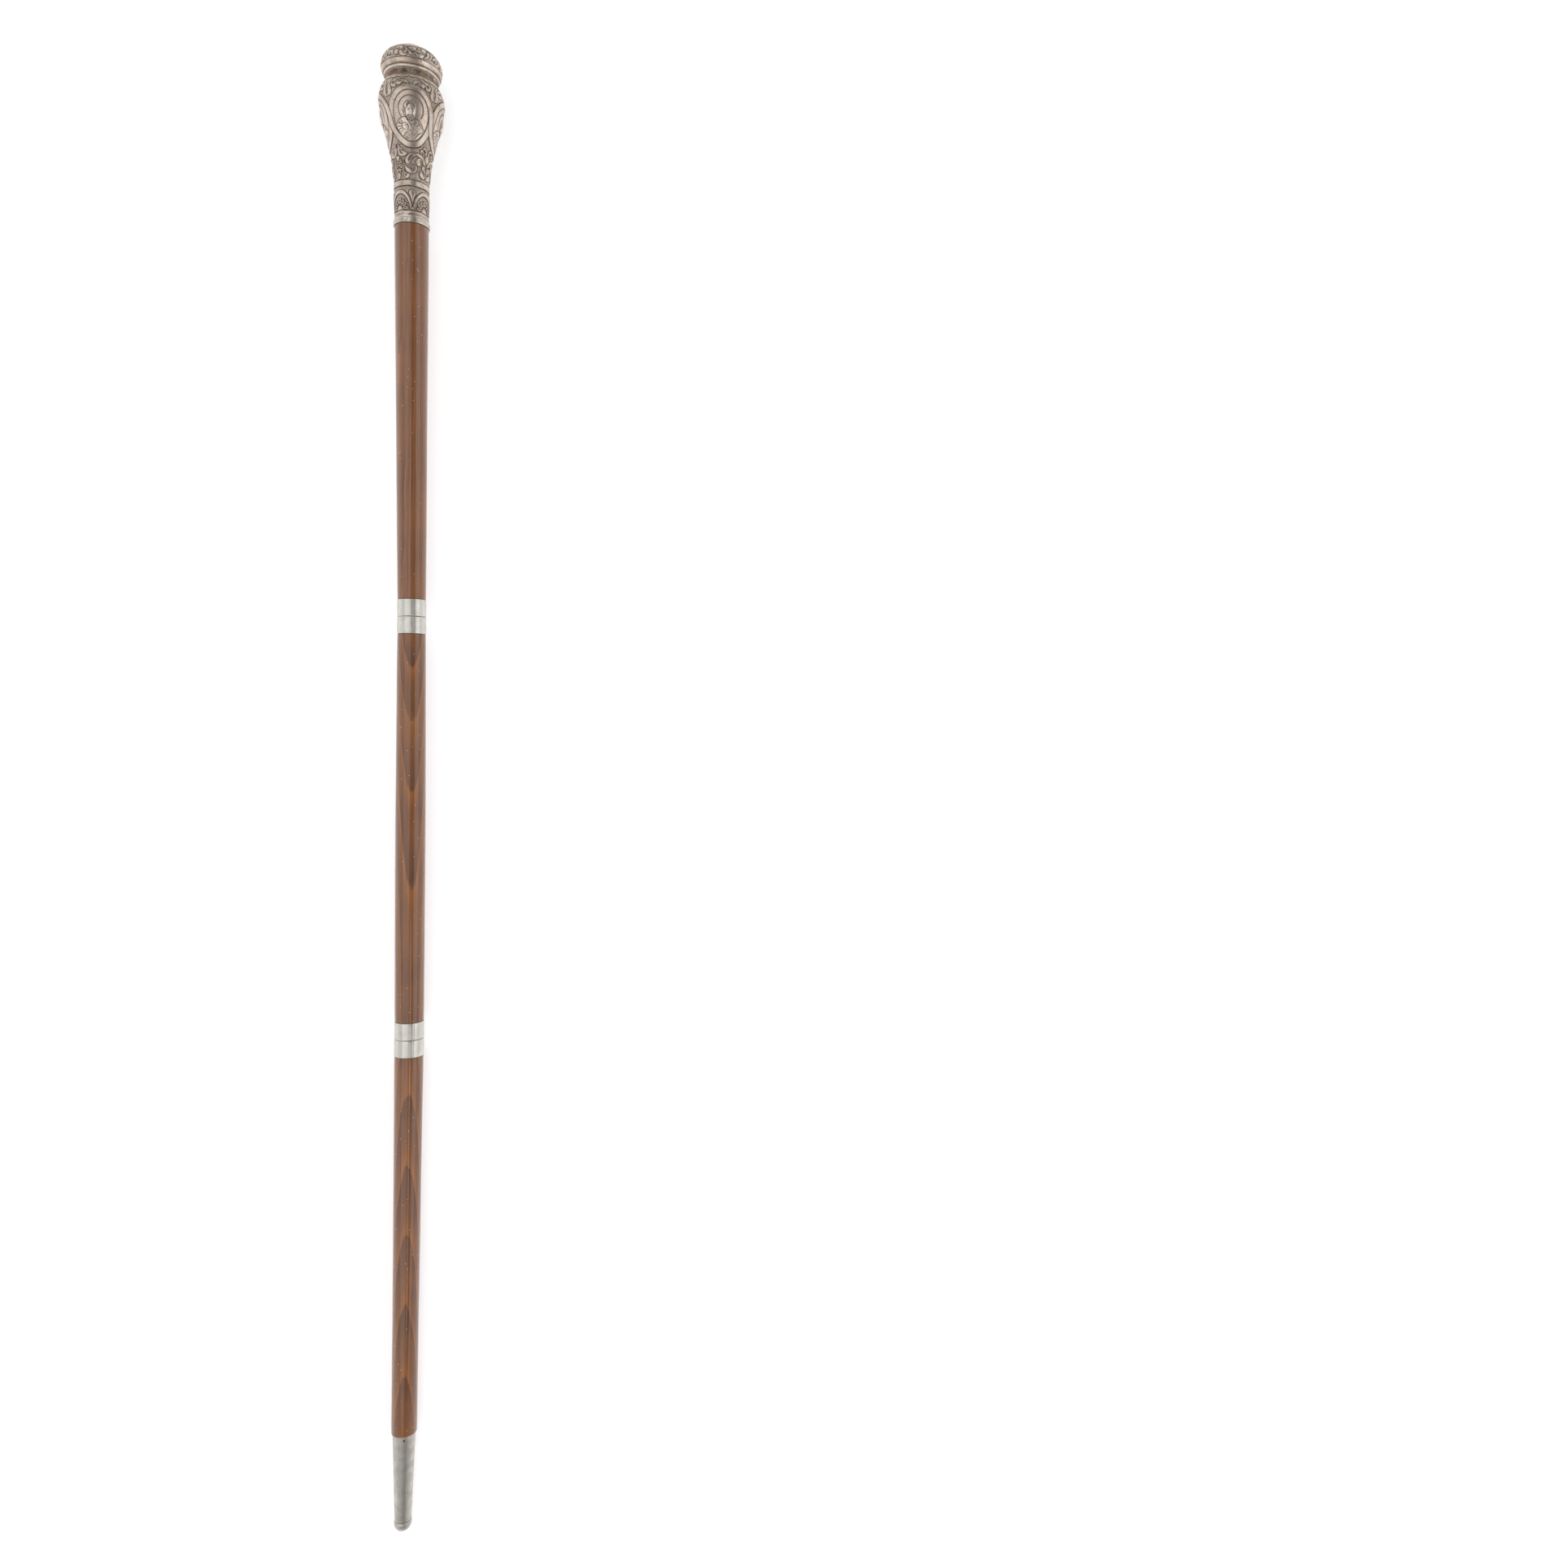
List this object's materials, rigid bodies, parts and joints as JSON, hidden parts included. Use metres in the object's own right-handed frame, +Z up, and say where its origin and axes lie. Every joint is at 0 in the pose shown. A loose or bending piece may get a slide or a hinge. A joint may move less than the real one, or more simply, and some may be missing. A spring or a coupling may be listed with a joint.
{
  "type": "bishop's knob-headed walking staff",
  "caption": "Ceremonial walking staff with a chased silver knob head, wooden sections joined by plain metal screw collars, and a tapered metal ferrule.",
  "frame": {"origin": "on the floor under the middle of the bounding box of the staff as it lies", "axes": "+Y along the staff towards its head, +Z up out of the front medallion, +X to the right of the front"},
  "size_m": [0.0532, 1.2504, 0.053],
  "materials": {
    "chased_silver": "chased silver, warm grey, with dark tarnish in the lines",
    "bright_metal": "turned and polished, lightly scuffed",
    "ferrule_metal": "dull grey sheet metal with fine scratches",
    "varnished_wood": "varnished reddish brown wood with worn specks",
    "rusty_iron": "rusted"
  },
  "bodies": {
    "root": {"head": "chased_silver", "head_ring": "bright_metal", "shaft_upper": "varnished_wood", "collar_upper_top": "bright_metal", "collar_upper_bottom": "bright_metal", "shaft_middle": "varnished_wood", "collar_lower_top": "bright_metal", "collar_lower_bottom": "bright_metal", "shaft_lower": "varnished_wood", "tip_ferrule": "ferrule_metal", "tip_cap": "ferrule_metal", "ferrule_nail": "rusty_iron"}
  },
  "joints": []
}
